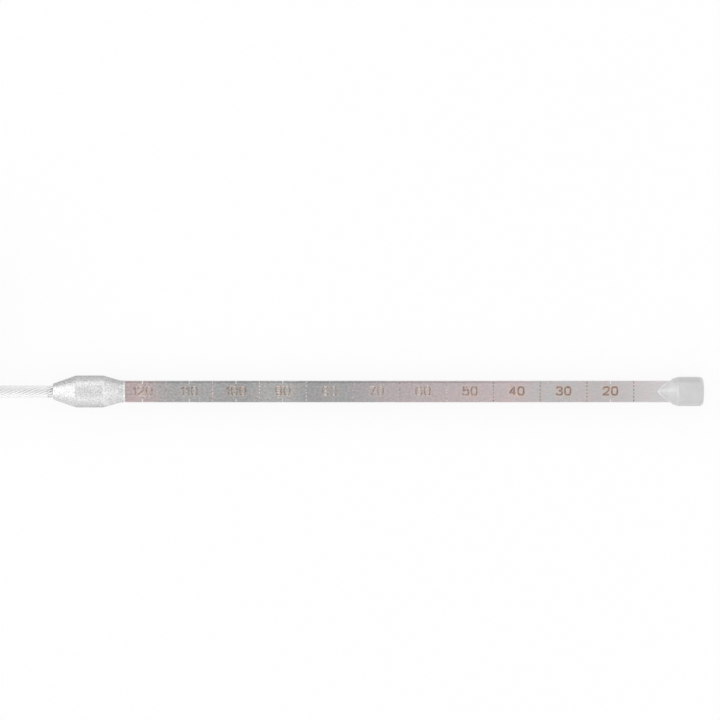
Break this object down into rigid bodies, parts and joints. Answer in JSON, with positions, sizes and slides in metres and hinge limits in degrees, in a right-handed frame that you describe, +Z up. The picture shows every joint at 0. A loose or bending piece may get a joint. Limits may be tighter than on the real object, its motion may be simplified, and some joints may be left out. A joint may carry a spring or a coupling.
{
  "type": "engine oil dipstick",
  "caption": "Engine oil dipstick: flat steel blade with a millimetre scale and a white moulded tip, cast to a coiled steel cable that ends in a pull ring.",
  "frame": {"origin": "middle of the tip's end face, the zero of the scale", "axes": "+X along the blade out of the tip, +Z up from the blade's marked face, +Y across the blade"},
  "size_m": [0.2881, 0.0413, 0.0118],
  "materials": {
    "blade_steel": "satin rolled steel with an engraved scale",
    "white_plastic": "moulded white plastic, slightly translucent",
    "cast_metal": "rough cast light metal",
    "cable_steel": "bright stranded wire",
    "tie_plastic": "black band",
    "black_plastic": "moulded black plastic"
  },
  "bodies": {
    "root": {"gauge_blade": "blade_steel", "tip_cap": "white_plastic", "cable_ferrule": "cast_metal", "cable_lead": "cable_steel", "cable_coil": "cable_steel", "cable_tail": "cable_steel", "coil_tie": "tie_plastic", "pull_handle": "black_plastic"}
  },
  "joints": []
}
